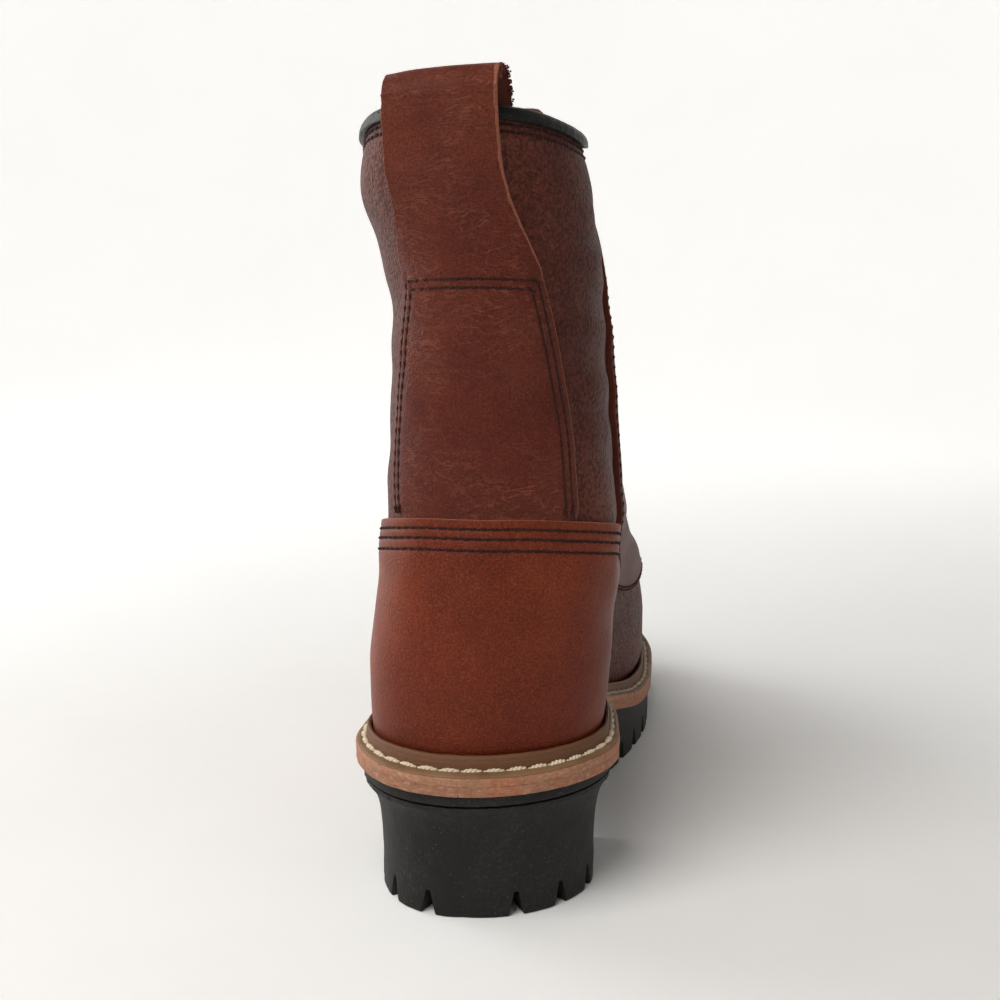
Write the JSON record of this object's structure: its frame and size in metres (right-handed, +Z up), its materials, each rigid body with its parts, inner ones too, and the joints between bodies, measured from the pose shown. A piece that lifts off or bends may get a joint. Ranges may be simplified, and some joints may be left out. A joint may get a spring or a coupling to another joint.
{
  "type": "logger boot",
  "caption": "Left leather logger boot with an eight-inch lace-up shaft, rear pull strap, stitched storm welt and high lugged rubber heel.",
  "frame": {"origin": "on the floor under the middle of the heel's tread", "axes": "+Y towards the toe, +X towards the medial side, +Z up"},
  "size_m": [0.113, 0.308, 0.259],
  "materials": {
    "shaft_leather": "soft milled leather, reddish brown",
    "smooth_leather": "smooth oiled leather, reddish brown",
    "collar_leather": "soft charcoal leather binding",
    "lining": "matt leather board",
    "welt": "waxed olive-tan welting",
    "midsole_leather": "reddish-tan stacked edge",
    "rubber": "matt black rubber, dusty",
    "eyelet_metal": "darkened brass",
    "lace": "round braided cord, dark brown"
  },
  "bodies": {
    "root": {"outsole": "rubber", "heel": "rubber", "midsole": "midsole_leather", "welt": "welt", "insole": "lining", "upper": "shaft_leather", "counter": "smooth_leather", "quarter_medial": "smooth_leather", "quarter_lateral": "smooth_leather", "pull_strap": "smooth_leather", "collar_roll": "collar_leather", "tongue": "shaft_leather", "eyelet_medial_1": "eyelet_metal", "eyelet_medial_2": "eyelet_metal", "eyelet_medial_3": "eyelet_metal", "eyelet_medial_4": "eyelet_metal", "eyelet_medial_5": "eyelet_metal", "eyelet_medial_6": "eyelet_metal", "eyelet_medial_7": "eyelet_metal", "eyelet_medial_8": "eyelet_metal", "eyelet_lateral_1": "eyelet_metal", "eyelet_lateral_2": "eyelet_metal", "eyelet_lateral_3": "eyelet_metal", "eyelet_lateral_4": "eyelet_metal", "eyelet_lateral_5": "eyelet_metal", "eyelet_lateral_6": "eyelet_metal", "eyelet_lateral_7": "eyelet_metal", "eyelet_lateral_8": "eyelet_metal", "lace_bar": "lace", "lace_crossing_1": "lace", "lace_crossing_2": "lace", "lace_crossing_3": "lace", "lace_crossing_4": "lace", "lace_crossing_5": "lace", "lace_crossing_6": "lace", "lace_crossing_7": "lace"}
  },
  "joints": []
}
